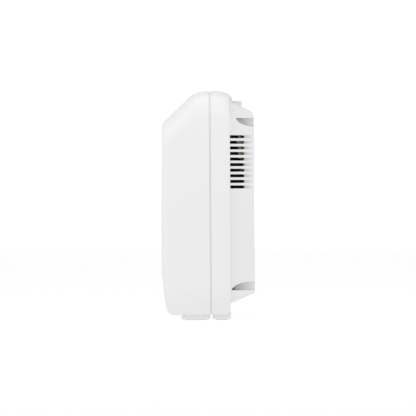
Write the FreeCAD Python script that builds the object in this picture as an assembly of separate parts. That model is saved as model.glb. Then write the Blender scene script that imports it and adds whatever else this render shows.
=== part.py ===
"""Desktop air quality monitor, split into its separate physical pieces.

Millimetres. X runs across the width, +Y points to the back, +Z up. The origin
is the middle of the footprint, on the surface that the monitor stands on.
"""
import FreeCAD, Part
import math
import os

V = FreeCAD.Vector
UP_BACK = V(0, 1, 0)
AROUND = V(0, 0, 0)

# ---- overall size ----
HALF_WIDTH = 65.0
HEIGHT = 138.0
BASE_Z = 3.0            # underside of the case, above the feet
FRONT_Y = -28.1
BACK_Y = 28.1
CORNER = 18.0           # corner radius of the case seen from the front
WALL = 2.2

# ---- front cover ----
SEAM_FRONT = 1.05
ROOF_EDGE_Y = -7.3      # where the flat top turns into the sloped brow
BROW_FALL = 0.96        # drop of the brow per millimetre forward
BROW_TURN = 15.0
FRONT_EDGE = 4.5
FACE_LEAN = 0.8 / 46.8  # the upper face leans back a little
CHIN_LEAN = 3.5 / 21.0  # the lower face tucks under
FACE_BEND_Z = 72.0
CHIN_BEND_Z = 24.0

# ---- rear cover ----
SEAM_REAR = 1.95
RIM_BACK = 13.5
RIM_ROOF_TURN = 15.0
RIM_ROOF_START = 6.0
RIM_HEEL = 3.5
DRAFT = math.tan(math.radians(23.0))
BULGE_HALF = 58.5       # half width of the bulge where it meets the rim
BULGE_LOW = 10.0
BULGE_HIGH = 131.6
BULGE_CORNER = 10.0
BULGE_TIP_CORNER = 3.8
BACK_WALL = 2.0

# ---- seam gasket ----
GASKET_INSET = 1.0
GASKET_REACH = 1.5
BEAD_INSET = 0.45       # the bead that fills the gap between the covers
SLIP = 0.05             # clearance of pieces that slip into each other

# ---- vents ----
SLOT_COUNT = 10
SLOT_PITCH = 3.35
SLOT_HEIGHT = 1.85
SLOT_TOP_Z = 110.2
SLOT_INNER_X = 52.65

# ---- screw wells ----
WELL_R = 5.2
WELL_INNER = 2.8        # from the middle of the arc to the flat side that faces the middle of the case
WELL_WALL = 1.8
WELL_FLOOR_Y = 14.0
WELL_FLOOR = 2.0
TOP_WELL = (51.65, 121.5, -1)     # x, z of the flat, side that the arc bulges to
LOW_WELL = (52.95, 18.0, 1)

# ---- feet ----
FOOT_X = (22.0, 46.0)
FRONT_FOOT_Y = (-16.1, 1.0)
REAR_FOOT_Y = (2.7, 13.6)
FOOT_ROUND = 1.5
FOOT_EDGE = 0.9
PAD_PROUD = 0.3
PAD_DEEP = 1.5

# ---- display ----
WINDOW_HALF = 50.0
WINDOW_LOW = 43.0
WINDOW_HIGH = 107.0
WINDOW_Y = (-27.0, -25.4)
LEDGE = 4.0
LEDGE_BACK_Y = -23.9
LCD_Y = (-23.85, -22.0)
BACKLIGHT_Y = (-21.95, -19.1)
TRAY_FLOOR_Y = -19.0
TRAY_BACK_Y = -17.5
TRAY_HALF = 50.5
TRAY_LOW = 42.5
TRAY_HIGH = 107.5
EAR_X = 54.6
EAR_Z = (52.0, 98.0)

# ---- light bar ----
BAR_HALF = 20.0
BAR_Z = (30.0, 33.0)
BAR_FLANGE_Y = (-25.5, -24.3)
LED_BOARD_Y = (-22.6, -21.0)
LED_POST_X = 26.0
LED_COUNT = 5

# ---- main board ----
BOARD_Y = (-4.0, -2.4)
BOARD_HALF = 46.0
BOARD_Z = (11.0, 117.0)
BOARD_POSTS = [(-42.0, 15.0), (42.0, 15.0), (-42.0, 113.5), (42.0, 113.5)]
BOARD_BACK = BOARD_Y[1]

# ---- particle sensor ----
PM_X = (-44.0, -6.0)
PM_Z = (40.0, 90.0)
PM_LID_Y = 17.6
PM_FLOOR_Y = 4.0
PM_WALL = 1.4
FAN_X = -25.0
FAN_Z = 54.5
FAN_CHAMBER_R = 11.5
ROTOR_R = 10.0
ROTOR_Y = (7.6, 14.6)
SHAFT_R = 1.0
BLADES = 11

# ---- sensor board behind the vents ----
SENSOR_BOARD_X = (12.0, 50.0)
SENSOR_BOARD_Y = (18.6, 20.2)
SENSOR_BOARD_Z = (97.0, 112.6)
SENSOR_POSTS = [(16.0, 105.0), (44.5, 107.5)]
SENSOR_PLUG = (41.0, 49.0, 95.2, 102.0)

# ---- divider between the vented chambers ----
DIVIDER_X = (10.3, 11.8)
DIVIDER_OUTLINE = [(-2.3, 83.0), (10.0, 83.0), (10.0, 76.0), (25.9, 76.0), (25.9, 108.9),
                   (24.0, 118.0), (-2.3, 118.0)]

# ---- power inlet ----
USB_HALF = 4.47
USB_R = 1.63
USB_MOUTH_Z = 16.0
USB_TOP_Z = 23.5
POWER_BOARD_Y = (14.9, 16.5)
USB_Y = POWER_BOARD_Y[1] + USB_R
USB_WELL_HALF = 6.4
USB_WELL_Y = (14.6, 21.7)
POWER_POSTS = [(-8.5, 33.0), (8.5, 33.0)]

# ---- rear button ----
BUTTON_HALF = 11.0
BUTTON_Y = (15.4, 21.2)
BUTTON_TOP = 133.0
BUTTON_FLANGE_Y = (14.6, 21.6)
BUTTON_FLANGE_Z = (123.8, 125.6)
BUTTON_PLAY = 0.25
BUTTON_MID_Y = 17.9
PLUNGER_TOP = 122.2
PLUNGER_R = 1.75
BUTTON_BOARD_Z = (112.4, 114.0)
SWITCH_TOP = 117.5
SHELF_SCREW_X = 7.3
GUARD_HALF = 14.0
GUARD_BACK_Y = 15.1
GUARD_LOW_Z = 130.2

# ---- wall keyholes ----
KEYHOLE_X = 30.0
KEYHOLE_Z = 70.0
KEYHOLE_R = 4.0
KEYHOLE_SLOT_R = 2.0
KEYHOLE_RISE = 8.0

LABEL = (24.0, 26.0, 46.0)        # half width, low z, high z
LABEL_RECESS = 0.25
PILOT_R = 1.0
HOUSING_SHANK_R = 1.25
HOUSING_HEAD_R = 2.3


# ---- plain shapes ----
def box(x, y, z):
    """Block between the two limits given on each axis."""
    return Part.makeBox(x[1] - x[0], y[1] - y[0], z[1] - z[0], V(x[0], y[0], z[0]))


def rod_y(x, z, y, radius):
    return Part.makeCylinder(radius, y[1] - y[0], V(x, y[0], z), V(0, 1, 0))


def rod_z(x, y, z, radius):
    return Part.makeCylinder(radius, z[1] - z[0], V(x, y, z[0]), V(0, 0, 1))


def mirrored(shape):
    """The same shape on the other side of the monitor."""
    return shape.mirror(V(0, 0, 0), V(1, 0, 0))


def both_sides(shape):
    return [shape, mirrored(shape)]


def soft_box(x, y, z, radius, along):
    """Block whose four edges along one axis are rounded."""
    block = box(x, y, z)
    edges = [e for e in block.Edges if abs(getattr(e.tangentAt(0), along)) > 0.9]
    return block.makeFillet(radius, edges)


def joined(shapes):
    first = shapes[0]
    return first.fuse(shapes[1:]).removeSplitter() if len(shapes) > 1 else first


def outline(half, low, high, radius, y, centre_x=0.0):
    """Rounded rectangle in the plane Y = y."""
    corners = [(half - radius, high - radius, 0), (radius - half, high - radius, 90),
               (radius - half, low + radius, 180), (half - radius, low + radius, 270)]
    edges = []
    for index, (cx, cz, start) in enumerate(corners):
        turn = [math.radians(start + step) for step in (0, 45, 90)]
        bend = [V(centre_x + cx + radius * math.cos(a), y, cz + radius * math.sin(a)) for a in turn]
        nx, nz, after = corners[(index + 1) % 4]
        angle = math.radians(after)
        reach = V(centre_x + nx + radius * math.cos(angle), y, nz + radius * math.sin(angle))
        edges.append(Part.Arc(*bend).toShape())
        if bend[-1].distanceToPoint(reach) > 1e-6:
            edges.append(Part.LineSegment(bend[-1], reach).toShape())
    return Part.Wire(edges)


def slab(half, low, high, radius, y, centre_x=0.0):
    """Rounded rectangle with thickness along Y."""
    face = Part.Face(outline(half, low, high, radius, y[0], centre_x))
    return face.extrude(V(0, y[1] - y[0], 0))


def bent_path(points, radii, x=0.0):
    """Edges of straight runs joined by tangent arcs in a plane X = x."""
    corners = [V(x, y, z) for y, z in points]
    edges = []
    start = corners[0]
    for before, corner, after, radius in zip(corners, corners[1:], corners[2:], radii):
        back = (before - corner).normalize()
        ahead = (after - corner).normalize()
        half_angle = back.getAngle(ahead) / 2
        reach = radius / math.tan(half_angle)
        middle = (back + ahead).normalize() * (radius / math.sin(half_angle) - radius)
        if start.distanceToPoint(corner + back * reach) > 1e-6:
            edges.append(Part.LineSegment(start, corner + back * reach).toShape())
        edges.append(Part.Arc(corner + back * reach, corner + middle, corner + ahead * reach).toShape())
        start = corner + ahead * reach
    edges.append(Part.LineSegment(start, corners[-1]).toShape())
    return edges


def inset_points(points, inset):
    """Move an open line of (y, z) points sideways, to the left of its direction."""
    lines = []
    for (y0, z0), (y1, z1) in zip(points, points[1:]):
        length = math.hypot(y1 - y0, z1 - z0)
        step = (-(z1 - z0) / length * inset, (y1 - y0) / length * inset)
        lines.append(((y0 + step[0], z0 + step[1]), (y1 + step[0], z1 + step[1])))
    moved = [lines[0][0]]
    for (a, b), (c, d) in zip(lines, lines[1:]):
        ab = (b[0] - a[0], b[1] - a[1])
        cd = (d[0] - c[0], d[1] - c[1])
        cross = ab[0] * cd[1] - ab[1] * cd[0]
        share = ((c[0] - a[0]) * cd[1] - (c[1] - a[1]) * cd[0]) / cross
        moved.append((a[0] + ab[0] * share, a[1] + ab[1] * share))
    return moved + [lines[-1][1]]


def swept(profile, path_edges):
    """Slide a closed outline along a path without turning it."""
    shell = Part.BRepOffsetAPI.MakePipeShell(Part.Wire(path_edges))
    shell.setTrihedronMode(AROUND, UP_BACK)
    shell.add(profile, False, False)
    shell.build()
    shell.makeSolid()
    return shell.shape()


def prism_x(points, radii, half):
    """Profile in the YZ plane, closed by its last straight side, across the width."""
    edges = bent_path(points, radii, -half)
    first = edges[0].Vertexes[0].Point
    last = edges[-1].Vertexes[-1].Point
    edges.append(Part.LineSegment(last, first).toShape())
    return Part.Face(Part.Wire(edges)).extrude(V(2 * half, 0, 0))


def tube_path(points, radius, bend, x):
    """Round wire of one radius along a bent path."""
    edges = bent_path(points, [bend] * (len(points) - 2), x)
    start = edges[0].Vertexes[0].Point
    circle = Part.Wire([Part.makeCircle(radius, start, edges[0].tangentAt(0))])
    return Part.Wire(edges).makePipeShell([circle], True, True)


def screw_y(x, z, head_y, tip_y, shank, head, depth):
    """Cross-head screw along Y, its head on the side away from the tip."""
    out = 1 if head_y > tip_y else -1
    body = rod_y(x, z, sorted((tip_y, head_y)), shank)
    cap = rod_y(x, z, sorted((head_y, head_y + out * depth)), head)
    top = sorted((head_y + out * depth * 0.4, head_y + out * (depth + 1)))
    cross = [box((x - head * 0.6, x + head * 0.6), top, (z - 0.3, z + 0.3)),
             box((x - 0.3, x + 0.3), top, (z - head * 0.6, z + head * 0.6))]
    rim = [e for e in cap.Edges if abs(e.CenterOfMass.y - head_y - out * depth) < 1e-6]
    return body.fuse(cap.makeFillet(depth * 0.3, rim)).cut(joined(cross))


# ---- outer forms of the two covers ----
def front_form(inset):
    """Front half of the case: rounded outline, sloped brow and leaning face."""
    half = HALF_WIDTH - inset
    radius = CORNER - inset
    far_y = ROOF_EDGE_Y - 29.0
    roof = [(SEAM_FRONT, HEIGHT), (ROOF_EDGE_Y, HEIGHT), (far_y, HEIGHT + (far_y - ROOF_EDGE_Y) * BROW_FALL)]
    roof = inset_points(roof, inset)
    tall = outline(half, BASE_Z - 60.0, HEIGHT - inset, radius, SEAM_FRONT)
    under_roof = swept(tall, bent_path(roof, [BROW_TURN - inset]))
    straight = slab(half, BASE_Z + inset, HEIGHT + 20.0, radius, (FRONT_Y - 5.0, SEAM_FRONT))
    top_z = HEIGHT + 25.0
    face_top_y = FRONT_Y + (top_z - FACE_BEND_Z) * FACE_LEAN
    chin_low_y = FRONT_Y + (CHIN_BEND_Z + 6.0) * CHIN_LEAN
    face = [(face_top_y, top_z), (FRONT_Y, FACE_BEND_Z), (FRONT_Y, CHIN_BEND_Z), (chin_low_y, -6.0)]
    face = inset_points(face, inset)
    corners = [(SEAM_FRONT, top_z)] + face + [(SEAM_FRONT, -6.0)]
    ahead = prism_x(corners, [0.5, 1500.0, 190.0, 0.5], HALF_WIDTH + 10.0)
    return under_roof.common(straight).common(ahead).removeSplitter()


def front_edge_loop(body):
    """Edges between the front face and the sides that run around it."""
    def faces_front(face):
        u0, u1, v0, v1 = face.ParameterRange
        return face.normalAt((u0 + u1) / 2, (v0 + v1) / 2).y < -0.93

    front = [face for face in body.Faces if faces_front(face)]

    def front_count(edge):
        return sum(any(own.isSame(edge) for own in face.Edges) for face in front)

    return [edge for edge in body.Edges if front_count(edge) == 1]


def rim_form(inset, back_y):
    """Rim of the rear cover, its top edge rolling down towards the back."""
    half = HALF_WIDTH - inset
    radius = CORNER - inset
    roof_turn_y = RIM_ROOF_START + RIM_ROOF_TURN * math.tan(math.radians(22.5))
    roof = [(SEAM_REAR, HEIGHT), (roof_turn_y, HEIGHT), (roof_turn_y + 20.0, HEIGHT - 20.0)]
    roof = inset_points(roof, -inset)
    tall = outline(half, BASE_Z - 60.0, HEIGHT - inset, radius, SEAM_REAR)
    under_roof = swept(tall, bent_path(roof, [RIM_ROOF_TURN - inset]))
    heel_y = RIM_BACK - RIM_HEEL + RIM_HEEL * math.tan(math.radians(30.0))
    floor = [(SEAM_REAR, BASE_Z), (heel_y, BASE_Z), (heel_y + 10.0, BASE_Z + 10.0 * math.sqrt(3.0))]
    floor = inset_points(floor, inset)
    deep = outline(half, BASE_Z + inset, HEIGHT + 60.0, radius, SEAM_REAR)
    above_floor = swept(deep, bent_path(floor, [max(RIM_HEEL - inset, 1.0)]))
    limit = box((-HALF_WIDTH, HALF_WIDTH), (SEAM_REAR, back_y), (0, HEIGHT))
    return under_roof.common(above_floor).common(limit).removeSplitter()


def bulge_form(inset, front_y, back_y):
    """Tapered bulge of the back, as a loft between two rounded rectangles."""
    side = inset / math.cos(math.radians(23.0))

    def section(y):
        depth = y - RIM_BACK
        share = depth / (BACK_Y - RIM_BACK)
        radius = BULGE_CORNER + (BULGE_TIP_CORNER - BULGE_CORNER) * share
        shrink = side + depth * DRAFT
        return outline(BULGE_HALF - shrink, BULGE_LOW + shrink, BULGE_HIGH - shrink, radius, y)

    return Part.makeLoft([section(front_y), section(back_y)], True, True)


def rounded_bulge():
    form = bulge_form(0.0, RIM_BACK - 0.5, BACK_Y)
    back = [e for e in form.Edges if e.CenterOfMass.y > BACK_Y - 0.01]
    form = form.makeFillet(2.0, back)
    top_z = BULGE_HIGH - (BACK_Y - RIM_BACK) * DRAFT
    ahead_y = RIM_BACK - 1.0
    side = [(ahead_y, -1.0), (ahead_y, BULGE_HIGH + DRAFT), (BACK_Y, top_z), (BACK_Y, -1.0)]
    return form.common(prism_x(side, [0.2, 5.0], HALF_WIDTH))


def well_form(well, grow, y):
    """D-shaped well: a flat side and a half round one, cut short inwards, running along Y."""
    x, flat_z, turn = well
    disc = rod_y(x, flat_z, y, WELL_R + grow)
    reach = WELL_R + grow + 1.0
    width = (x - WELL_INNER - grow, x + reach)
    if turn < 0:
        keep = box(width, y, (flat_z - reach, flat_z + grow))
    else:
        keep = box(width, y, (flat_z - grow, flat_z + reach))
    return disc.common(keep)


def well_screw_centre(well):
    x, flat_z, turn = well
    return x, flat_z + turn * WELL_R / 2


# ---- covers ----
def feet(y):
    """Pair of feet under one cover, hollowed for their rubber pads."""
    foot = soft_box(FOOT_X, y, (PAD_PROUD, BASE_Z + 1.0), FOOT_ROUND, "z")
    sole = [edge for edge in foot.Edges if abs(edge.CenterOfMass.z - PAD_PROUD) < 1e-6]
    foot = foot.makeFillet(FOOT_EDGE, sole).cut(pad(y, SLIP))
    return both_sides(foot)


def pad(y, grow):
    x = (FOOT_X[0] + 2.0 - grow, FOOT_X[1] - 2.0 + grow)
    return soft_box(x, (y[0] + 2.0 - grow, y[1] - 2.0 + grow), (0, PAD_DEEP + grow), 1.2, "z")


def front_posts():
    """Screw posts that stand on the inside of the front face."""
    posts = []
    for well in (TOP_WELL, LOW_WELL):
        x, z = well_screw_centre(well)
        posts += both_sides(rod_y(x, z, (FRONT_Y, WELL_FLOOR_Y - WELL_FLOOR - SLIP), 3.5))
    for x, z in BOARD_POSTS:
        posts.append(rod_y(x, z, (FRONT_Y, BOARD_Y[0]), 3.0))
    for z in EAR_Z:
        posts += both_sides(rod_y(EAR_X, z, (FRONT_Y, TRAY_FLOOR_Y), 2.5))
    posts += both_sides(rod_y(LED_POST_X, sum(BAR_Z) / 2, (FRONT_Y, LED_BOARD_Y[0]), 2.2))
    return posts


def front_pilots():
    """Holes for the screws in those posts."""
    holes = []
    for well in (TOP_WELL, LOW_WELL):
        x, z = well_screw_centre(well)
        holes += both_sides(rod_y(x, z, (-10.0, 12.0), HOUSING_SHANK_R + SLIP))
    for x, z in BOARD_POSTS:
        holes.append(rod_y(x, z, (BOARD_Y[0] - 9.0, 0.0), PILOT_R + 0.2))
    for z in EAR_Z:
        holes += both_sides(rod_y(EAR_X, z, (TRAY_FLOOR_Y - 4.5, -10.0), PILOT_R))
    holes += both_sides(rod_y(LED_POST_X, sum(BAR_Z) / 2, (LED_BOARD_Y[0] - 2.5, -10.0), PILOT_R))
    return holes


def front_cover():
    skin = front_form(0.0)
    skin = skin.makeFillet(FRONT_EDGE, front_edge_loop(skin))
    hollow = front_form(WALL)
    ledge = slab(WINDOW_HALF + 2.5, WINDOW_LOW - 2.5, WINDOW_HIGH + 2.5, 6.0, (FRONT_Y, LEDGE_BACK_Y))
    inside = joined([ledge] + front_posts()).common(skin)
    body = skin.cut(hollow).fuse(inside).fuse(feet(FRONT_FOOT_Y))
    seat = slab(WINDOW_HALF + 0.15, WINDOW_LOW - 0.15, WINDOW_HIGH + 0.15, 5.15, (FRONT_Y - 2.0, WINDOW_Y[1]))
    sight = slab(WINDOW_HALF - LEDGE, WINDOW_LOW + LEDGE, WINDOW_HIGH - LEDGE, 2.0, (FRONT_Y - 2.0, -20.0))
    bar_hole = slab(BAR_HALF + SLIP, BAR_Z[0] - SLIP, BAR_Z[1] + SLIP, 1.5, (FRONT_Y - 2.0, -20.0))
    rebate_y = (SEAM_FRONT - GASKET_REACH, SEAM_FRONT + 1.0)
    rebate = case_slab(GASKET_INSET, rebate_y)
    return body.cut([seat, sight, bar_hole, rebate] + front_pilots()).removeSplitter()


def case_slab(inset, y):
    """Slice of the case outline at the seam, drawn in by an inset."""
    return slab(HALF_WIDTH - inset, BASE_Z + inset, HEIGHT - inset, CORNER - inset, y)


def seam_gasket():
    """Ring inside both shell edges, with a bead that stands in the gap between them."""
    y = (SEAM_FRONT - GASKET_REACH + SLIP, SEAM_REAR + GASKET_REACH - SLIP)
    bead = case_slab(BEAD_INSET, (SEAM_FRONT + SLIP, SEAM_REAR - SLIP))
    return case_slab(GASKET_INSET + SLIP, y).fuse(bead).cut(case_slab(WALL, (y[0] - 1.0, y[1] + 1.0)))


def chamber_divider():
    """Dark plate that keeps the air and light of the two vented chambers apart."""
    corners = [V(DIVIDER_X[0], y, z) for y, z in DIVIDER_OUTLINE]
    return Part.Face(Part.makePolygon(corners + corners[:1])).extrude(V(DIVIDER_X[1] - DIVIDER_X[0], 0, 0))


def vent_slots():
    """Stadium cutters that run along Y through the sloping side wall."""
    radius = SLOT_HEIGHT / 2
    cutters = []
    for index in range(SLOT_COUNT):
        z = SLOT_TOP_Z - index * SLOT_PITCH
        block = box((SLOT_INNER_X + radius, HALF_WIDTH), (RIM_BACK, BACK_Y + 1.0), (z - radius, z + radius))
        nose = rod_y(SLOT_INNER_X + radius, z, (RIM_BACK, BACK_Y + 1.0), radius)
        cutters += both_sides(block.fuse(nose))
    return cutters


def keyhole(x):
    y = (BACK_Y - BACK_WALL - 1.0, BACK_Y + 1.0)
    top = KEYHOLE_Z + KEYHOLE_RISE
    slot = box((x - KEYHOLE_SLOT_R, x + KEYHOLE_SLOT_R), y, (KEYHOLE_Z, top))
    return joined([rod_y(x, KEYHOLE_Z, y, KEYHOLE_R), slot, rod_y(x, top, y, KEYHOLE_SLOT_R)])


def rear_posts():
    """Posts and shelves for the small boards, standing on the back wall."""
    end_y = BACK_Y - 1.0
    posts = [rod_y(x, z, (SENSOR_BOARD_Y[1], end_y), 2.5) for x, z in SENSOR_POSTS]
    posts += [rod_y(x, z, (POWER_BOARD_Y[1], end_y), 2.5) for x, z in POWER_POSTS]
    shelf = box((5.0, 9.6), (15.5, end_y), (BUTTON_BOARD_Z[0] - 3.0, BUTTON_BOARD_Z[0]))
    return posts + both_sides(shelf)


def rear_pilots():
    holes = [rod_y(x, z, (10.0, SENSOR_BOARD_Y[1] + 4.5), PILOT_R) for x, z in SENSOR_POSTS]
    holes += [rod_y(x, z, (10.0, POWER_BOARD_Y[1] + 5.0), PILOT_R) for x, z in POWER_POSTS]
    holes += both_sides(rod_z(SHELF_SCREW_X, BUTTON_MID_Y, (BUTTON_BOARD_Z[0] - 2.6, 116.0), PILOT_R))
    return holes


def usb_stadium(grow, z):
    """Rounded oblong of the socket, running along Z."""
    radius = USB_R + grow
    offset = USB_HALF - USB_R
    ends = [rod_z(x, USB_Y, z, radius) for x in (-offset, offset)]
    middle = box((-offset, offset), (USB_Y - radius, USB_Y + radius), z)
    return joined([middle] + ends)


def rear_cover():
    rim = rim_form(0.0, RIM_BACK)
    back_loop = [e for e in rim.Edges if abs(e.CenterOfMass.y - RIM_BACK) < 0.01]
    rim = rim.makeFillet(0.8, back_loop)
    bulge = rounded_bulge()
    outer = rim.fuse(bulge)
    guard_box = box((-GUARD_HALF, GUARD_HALF), (RIM_BACK - 1.0, GUARD_BACK_Y), (GUARD_LOW_Z, HEIGHT))
    guard = rim_form(0.0, GUARD_BACK_Y).common(guard_box)
    rim_hollow = rim_form(WALL, RIM_BACK - BACK_WALL)
    bulge_hollow = bulge_form(BACK_WALL, RIM_BACK, BACK_Y - BACK_WALL)
    shrink = BACK_WALL / math.cos(math.radians(23.0))
    neck = slab(BULGE_HALF - shrink, BULGE_LOW + shrink, BULGE_HIGH - shrink, BULGE_CORNER,
                (RIM_BACK - BACK_WALL - 0.5, RIM_BACK))
    cup_y = (WELL_FLOOR_Y - WELL_FLOOR, BACK_Y + 1.0)
    inside = rear_posts()
    for well in (TOP_WELL, LOW_WELL):
        inside += both_sides(well_form(well, WELL_WALL, cup_y))
    usb_x = (-USB_WELL_HALF - 1.6, USB_WELL_HALF + 1.6)
    inside.append(box(usb_x, (RIM_BACK, USB_WELL_Y[1] + 1.6), (BASE_Z, USB_MOUTH_Z + 1.6)))
    inside = joined(inside).common(outer)
    body = outer.cut([rim_hollow, bulge_hollow, neck]).fuse(inside).fuse([guard] + feet(REAR_FOOT_Y))
    return body.cut(rear_openings()).removeSplitter()


def rear_openings():
    """Everything that is cut through the walls of the rear cover."""
    cuts = vent_slots() + [keyhole(-KEYHOLE_X), keyhole(KEYHOLE_X)] + rear_pilots()
    for well in (TOP_WELL, LOW_WELL):
        cuts += both_sides(well_form(well, 0.0, (WELL_FLOOR_Y, BACK_Y + 2.0)))
        x, z = well_screw_centre(well)
        cuts += both_sides(rod_y(x, z, (5.0, 15.0), HOUSING_SHANK_R + 0.25))
    usb_x = (-USB_WELL_HALF, USB_WELL_HALF)
    cuts.append(soft_box(usb_x, USB_WELL_Y, (0.0, USB_MOUTH_Z), 2.0, "z"))
    cuts.append(usb_stadium(0.1, (USB_MOUTH_Z - 1.0, USB_MOUTH_Z + 3.0)))
    button_x = (-BUTTON_HALF - BUTTON_PLAY, BUTTON_HALF + BUTTON_PLAY)
    button_y = (BUTTON_Y[0] - BUTTON_PLAY, BUTTON_Y[1] + BUTTON_PLAY)
    cuts.append(soft_box(button_x, button_y, (BUTTON_FLANGE_Z[1], BUTTON_TOP), 1.0, "z"))
    cuts.append(case_slab(GASKET_INSET, (SEAM_REAR - 1.0, SEAM_REAR + GASKET_REACH)))
    half, low, high = LABEL
    cuts.append(slab(half + SLIP, low - SLIP, high + SLIP, 1.5, (BACK_Y - LABEL_RECESS, BACK_Y + 1.0)))
    return cuts


# ---- display and light bar ----
def display_window():
    return slab(WINDOW_HALF, WINDOW_LOW, WINDOW_HIGH, 5.0, WINDOW_Y)


def display_panel():
    return slab(TRAY_HALF - 2.5, TRAY_LOW + 2.5, TRAY_HIGH - 2.5, 0.8, LCD_Y)


def display_backlight():
    return slab(TRAY_HALF - 2.7, TRAY_LOW + 2.7, TRAY_HIGH - 2.7, 1.0, BACKLIGHT_Y)


def display_frame():
    """Tray that holds the panel and its backlight, with four screw ears."""
    tray = slab(TRAY_HALF, TRAY_LOW, TRAY_HIGH, 2.0, (LCD_Y[0], TRAY_BACK_Y))
    pocket = slab(TRAY_HALF - 2.3, TRAY_LOW + 2.3, TRAY_HIGH - 2.3, 0.8, (LCD_Y[0] - 1.0, TRAY_FLOOR_Y))
    ears = []
    holes = [box((-10.0, 10.0), (LCD_Y[1] + 0.2, TRAY_FLOOR_Y), (TRAY_LOW - 1.0, TRAY_LOW + 3.0))]
    for z in EAR_Z:
        arm = box((TRAY_HALF - 1.0, EAR_X), (TRAY_FLOOR_Y, TRAY_BACK_Y), (z - 3.0, z + 3.0))
        ears += both_sides(arm.fuse(rod_y(EAR_X, z, (TRAY_FLOOR_Y, TRAY_BACK_Y), 3.0)))
        holes += both_sides(rod_y(EAR_X, z, (TRAY_FLOOR_Y - 1.0, 0.0), PILOT_R + 0.2))
    return tray.cut(pocket).fuse(ears).cut(holes).removeSplitter()


def display_screws():
    spots = [(side * EAR_X, z) for side in (-1, 1) for z in EAR_Z]
    tip_y = TRAY_FLOOR_Y - 4.0
    return Part.makeCompound([screw_y(x, z, TRAY_BACK_Y, tip_y, 0.95, 2.0, 1.4) for x, z in spots])


def display_cable():
    """Flat cable from the panel, folded back up into its socket."""
    route = [(-20.4, 44.7), (-20.4, 29.5), (-5.4, 29.5), (-5.4, 37.0)]
    outer = bent_path(route, [4.0, 3.5], -9.0)
    inner = bent_path(inset_points(route, 0.3), [3.7, 3.2], -9.0)
    ends = [Part.LineSegment(outer[0].Vertexes[0].Point, inner[0].Vertexes[0].Point).toShape(),
            Part.LineSegment(outer[-1].Vertexes[-1].Point, inner[-1].Vertexes[-1].Point).toShape()]
    loop = Part.Wire(Part.__sortEdges__(outer + inner + ends))
    return Part.Face(loop).extrude(V(18.0, 0, 0))


def light_bar():
    lens = slab(BAR_HALF, BAR_Z[0], BAR_Z[1], 1.45, (FRONT_Y - 1.0, BAR_FLANGE_Y[0])).common(front_form(0.0))
    flange_z = (BAR_Z[0] - 1.5, BAR_Z[1] + 1.5)
    return lens.fuse(box((-BAR_HALF - 1.8, BAR_HALF + 1.8), BAR_FLANGE_Y, flange_z))


def led_board():
    middle = sum(BAR_Z) / 2
    board = box((-LED_POST_X - 3.5, LED_POST_X + 3.5), LED_BOARD_Y, (middle - 5.5, middle + 5.5))
    return board.cut(both_sides(rod_y(LED_POST_X, middle, (-30.0, 0.0), PILOT_R + 0.2)))


def leds():
    """Row of light emitters spread evenly behind the light bar."""
    middle = sum(BAR_Z) / 2
    step = 2 * BAR_HALF / LED_COUNT
    spots = [(index - (LED_COUNT - 1) / 2) * step for index in range(LED_COUNT)]
    y = (LED_BOARD_Y[0] - 1.2, LED_BOARD_Y[0])
    return Part.makeCompound([box((x - 1.75, x + 1.75), y, (middle - 1.4, middle + 1.4)) for x in spots])


# ---- main board ----
def on_board(x, z, height):
    """Square part soldered to the back of the main board."""
    return box(x, (BOARD_BACK, BOARD_BACK + height), z)


def main_board():
    board = box((-BOARD_HALF, BOARD_HALF), BOARD_Y, BOARD_Z)
    return board.cut([rod_y(x, z, (-10.0, 5.0), 1.5) for x, z in BOARD_POSTS])


def board_screws():
    tip_y = BOARD_Y[0] - 8.0
    return Part.makeCompound([screw_y(x, z, BOARD_BACK, tip_y, 1.15, 2.4, 1.6) for x, z in BOARD_POSTS])


def board_chips():
    return Part.makeCompound([
        on_board((16.0, 26.0), (95.0, 105.0), 1.4),
        on_board((30.0, 35.0), (96.0, 102.0), 1.2),
        on_board((-10.0, -4.0), (100.0, 105.0), 1.2),
        on_board((20.0, 28.0), (44.0, 52.0), 1.3),
        on_board((34.0, 39.0), (45.0, 49.0), 1.0),
    ])


def board_capacitors():
    spots = [(22.0, 20.0), (31.0, 20.0), (31.0, 29.0)]
    return Part.makeCompound([rod_y(x, z, (BOARD_BACK, BOARD_BACK + 7.0), 3.0) for x, z in spots])


def power_inductor():
    return soft_box((9.0, 16.0), (BOARD_BACK, BOARD_BACK + 4.0), (15.0, 22.0), 1.2, "y")


def buzzer():
    body = rod_y(-32.0, 24.0, (BOARD_BACK, BOARD_BACK + 6.0), 6.0)
    return body.cut(rod_y(-32.0, 24.0, (BOARD_BACK + 4.0, BOARD_BACK + 7.0), 1.2))


def board_sockets():
    """Cable sockets on both faces of the main board."""
    front_y = (BOARD_Y[0] - 3.0, BOARD_Y[0])
    return Part.makeCompound([
        on_board((40.0, 46.0), (86.5, 90.5), 5.0),
        on_board((-29.0, -21.0), (31.0, 35.0), 5.0),
        on_board((-5.0, 5.0), (26.0, 30.0), 5.0),
        on_board((3.0, 8.0), (105.0, 109.0), 5.0),
        box((-10.5, 10.5), (-6.6, BOARD_Y[0]), (37.0, 41.5)),
        box((12.0, 19.0), front_y, (29.5, 33.5)),
    ])


def small_sockets():
    """Cable sockets on the power, light and button boards."""
    return Part.makeCompound([
        box((-5.0, 5.0), (POWER_BOARD_Y[0] - 4.0, POWER_BOARD_Y[0]), (26.0, 30.0)),
        box((12.0, 19.0), (LED_BOARD_Y[1], LED_BOARD_Y[1] + 3.0), (29.5, 33.5)),
        box((3.0, 4.8), (15.6, 18.6), (BUTTON_BOARD_Z[0] - 4.0, BUTTON_BOARD_Z[0])),
    ])


def wifi_board():
    return box((-36.0, -18.0), (BOARD_BACK, BOARD_BACK + 0.8), (91.5, 116.5))


def wifi_shield():
    can = (BOARD_BACK + 0.8, BOARD_BACK + 3.2)
    return soft_box((-35.0, -19.0), can, (92.0, 110.0), 0.8, "y")


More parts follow.
